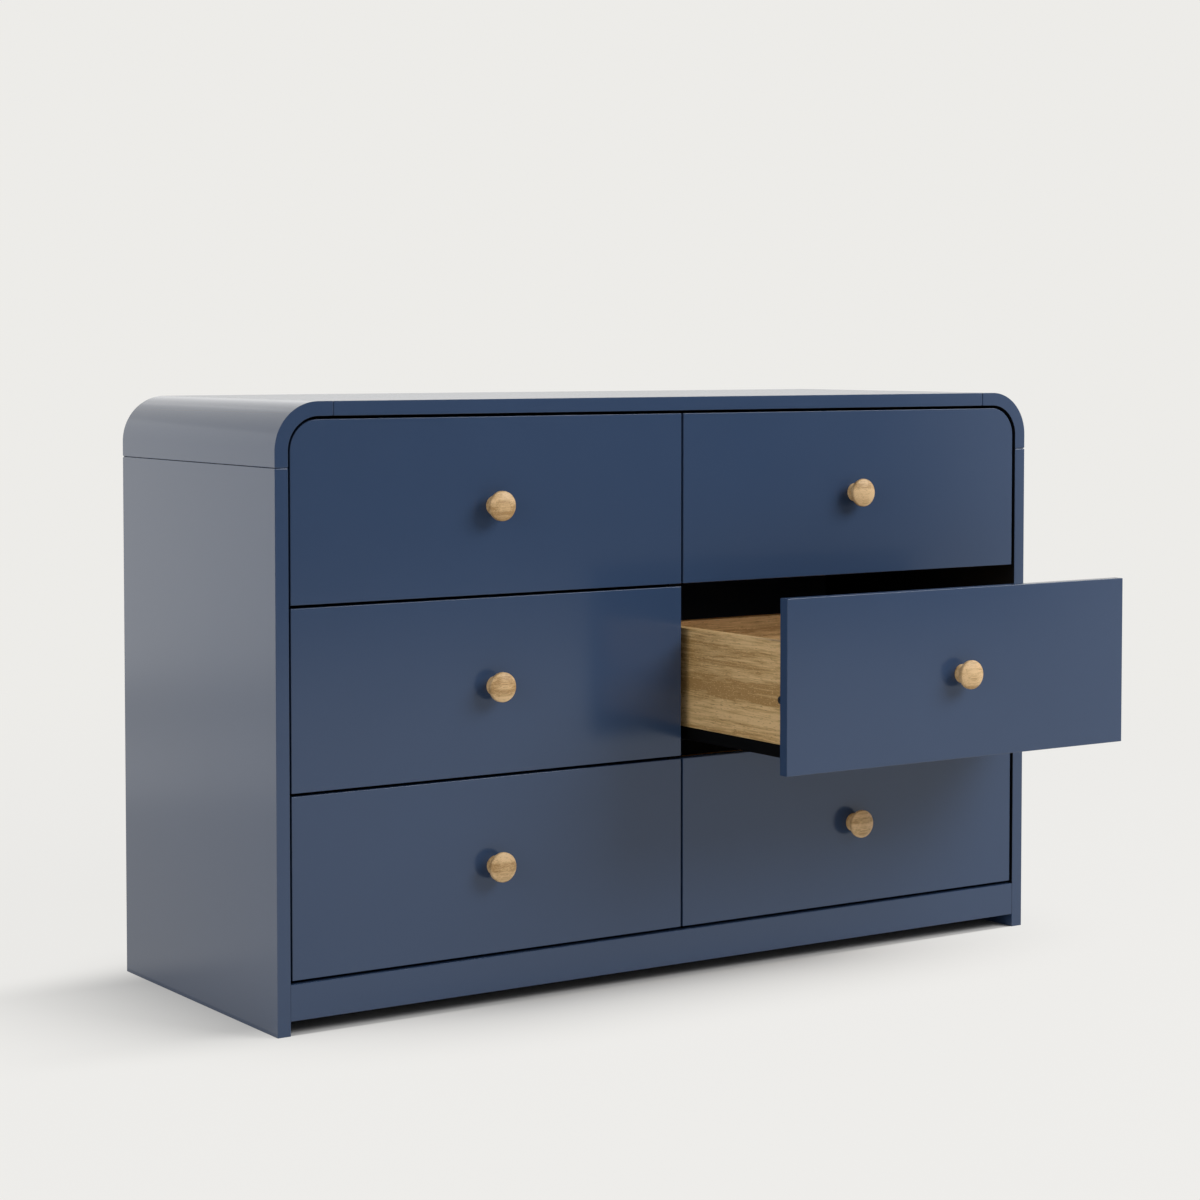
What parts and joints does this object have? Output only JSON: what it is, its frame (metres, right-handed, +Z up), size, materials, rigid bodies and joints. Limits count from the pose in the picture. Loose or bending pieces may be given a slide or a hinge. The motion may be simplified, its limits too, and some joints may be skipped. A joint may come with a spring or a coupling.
{
  "type": "chest of drawers",
  "caption": "Low wide chest of drawers with rounded upper corners, flat inset drawer fronts in satin blue paint, turned oak knobs and steel runners under wooden drawer boxes.",
  "frame": {"origin": "on the floor under the middle of the case, at the underside of the centre foot", "axes": "+Z up, drawers open towards -Y, +X to the right of someone facing the drawers"},
  "size_m": [1.2, 0.688, 0.77],
  "materials": {
    "satin_blue_paint": "satin blue paint on board",
    "case_board": "matt blue paint on board",
    "back_board": "thin painted fibreboard",
    "oak_knob": "clear lacquer on turned oak",
    "drawer_board": "oak veneer, matt lacquer",
    "drawer_base": "oak veneer, matt lacquer",
    "dowel_wood": "bare beech",
    "runner_steel": "black coated sheet steel",
    "fitting_steel": "zinc plated"
  },
  "bodies": {
    "case": {"left_side": "satin_blue_paint", "right_side": "satin_blue_paint", "left_corner": "satin_blue_paint", "right_corner": "satin_blue_paint", "top_panel": "satin_blue_paint", "plinth": "satin_blue_paint", "bottom_panel": "case_board", "centre_divider": "case_board", "centre_foot": "case_board", "back_panel": "back_board", "case_dowels": "dowel_wood", "case_runners": "runner_steel"},
    "bottom_left_drawer": {"bottom_left_drawer_front": "satin_blue_paint", "bottom_left_knob": "oak_knob", "bottom_left_drawer_sides": "drawer_board", "bottom_left_drawer_back": "drawer_board", "bottom_left_drawer_bottom": "drawer_base", "bottom_left_fittings": "fitting_steel", "bottom_left_runners": "runner_steel"},
    "bottom_left_bars": {"bottom_left_slide_bars": "runner_steel"},
    "bottom_right_drawer": {"bottom_right_drawer_front": "satin_blue_paint", "bottom_right_knob": "oak_knob", "bottom_right_drawer_sides": "drawer_board", "bottom_right_drawer_back": "drawer_board", "bottom_right_drawer_bottom": "drawer_base", "bottom_right_fittings": "fitting_steel", "bottom_right_runners": "runner_steel"},
    "bottom_right_bars": {"bottom_right_slide_bars": "runner_steel"},
    "middle_left_drawer": {"middle_left_drawer_front": "satin_blue_paint", "middle_left_knob": "oak_knob", "middle_left_drawer_sides": "drawer_board", "middle_left_drawer_back": "drawer_board", "middle_left_drawer_bottom": "drawer_base", "middle_left_fittings": "fitting_steel", "middle_left_runners": "runner_steel"},
    "middle_left_bars": {"middle_left_slide_bars": "runner_steel"},
    "middle_right_drawer": {"middle_right_drawer_front": "satin_blue_paint", "middle_right_knob": "oak_knob", "middle_right_drawer_sides": "drawer_board", "middle_right_drawer_back": "drawer_board", "middle_right_drawer_bottom": "drawer_base", "middle_right_fittings": "fitting_steel", "middle_right_runners": "runner_steel"},
    "middle_right_bars": {"middle_right_slide_bars": "runner_steel"},
    "top_left_drawer": {"top_left_drawer_front": "satin_blue_paint", "top_left_knob": "oak_knob", "top_left_drawer_sides": "drawer_board", "top_left_drawer_back": "drawer_board", "top_left_drawer_bottom": "drawer_base", "top_left_fittings": "fitting_steel", "top_left_runners": "runner_steel"},
    "top_left_bars": {"top_left_slide_bars": "runner_steel"},
    "top_right_drawer": {"top_right_drawer_front": "satin_blue_paint", "top_right_knob": "oak_knob", "top_right_drawer_sides": "drawer_board", "top_right_drawer_back": "drawer_board", "top_right_drawer_bottom": "drawer_base", "top_right_fittings": "fitting_steel", "top_right_runners": "runner_steel"},
    "top_right_bars": {"top_right_slide_bars": "runner_steel"}
  },
  "joints": [
    {"name": "bottom_left_slide", "type": "slide", "parent": "case", "child": "bottom_left_drawer", "axis": [0, -1, 0], "range_m": [0, 0.33]},
    {"name": "bottom_left_bar_slide", "type": "slide", "parent": "case", "child": "bottom_left_bars", "axis": [0, -1, 0], "range_m": [0, 0.165]},
    {"name": "bottom_right_slide", "type": "slide", "parent": "case", "child": "bottom_right_drawer", "axis": [0, -1, 0], "range_m": [0, 0.33]},
    {"name": "bottom_right_bar_slide", "type": "slide", "parent": "case", "child": "bottom_right_bars", "axis": [0, -1, 0], "range_m": [0, 0.165]},
    {"name": "middle_left_slide", "type": "slide", "parent": "case", "child": "middle_left_drawer", "axis": [0, -1, 0], "range_m": [0, 0.33]},
    {"name": "middle_left_bar_slide", "type": "slide", "parent": "case", "child": "middle_left_bars", "axis": [0, -1, 0], "range_m": [0, 0.165]},
    {"name": "middle_right_slide", "type": "slide", "parent": "case", "child": "middle_right_drawer", "axis": [0, -1, 0], "range_m": [-0.225, 0.105]},
    {"name": "middle_right_bar_slide", "type": "slide", "parent": "case", "child": "middle_right_bars", "axis": [0, -1, 0], "range_m": [-0.1125, 0.0525]},
    {"name": "top_left_slide", "type": "slide", "parent": "case", "child": "top_left_drawer", "axis": [0, -1, 0], "range_m": [0, 0.33]},
    {"name": "top_left_bar_slide", "type": "slide", "parent": "case", "child": "top_left_bars", "axis": [0, -1, 0], "range_m": [0, 0.165]},
    {"name": "top_right_slide", "type": "slide", "parent": "case", "child": "top_right_drawer", "axis": [0, -1, 0], "range_m": [0, 0.33]},
    {"name": "top_right_bar_slide", "type": "slide", "parent": "case", "child": "top_right_bars", "axis": [0, -1, 0], "range_m": [0, 0.165]}
  ],
  "couplings": [
    {"joint": "bottom_left_bar_slide", "follows": "bottom_left_slide", "ratio": 0.5},
    {"joint": "bottom_right_bar_slide", "follows": "bottom_right_slide", "ratio": 0.5},
    {"joint": "middle_left_bar_slide", "follows": "middle_left_slide", "ratio": 0.5},
    {"joint": "middle_right_bar_slide", "follows": "middle_right_slide", "ratio": 0.5},
    {"joint": "top_left_bar_slide", "follows": "top_left_slide", "ratio": 0.5},
    {"joint": "top_right_bar_slide", "follows": "top_right_slide", "ratio": 0.5}
  ]
}
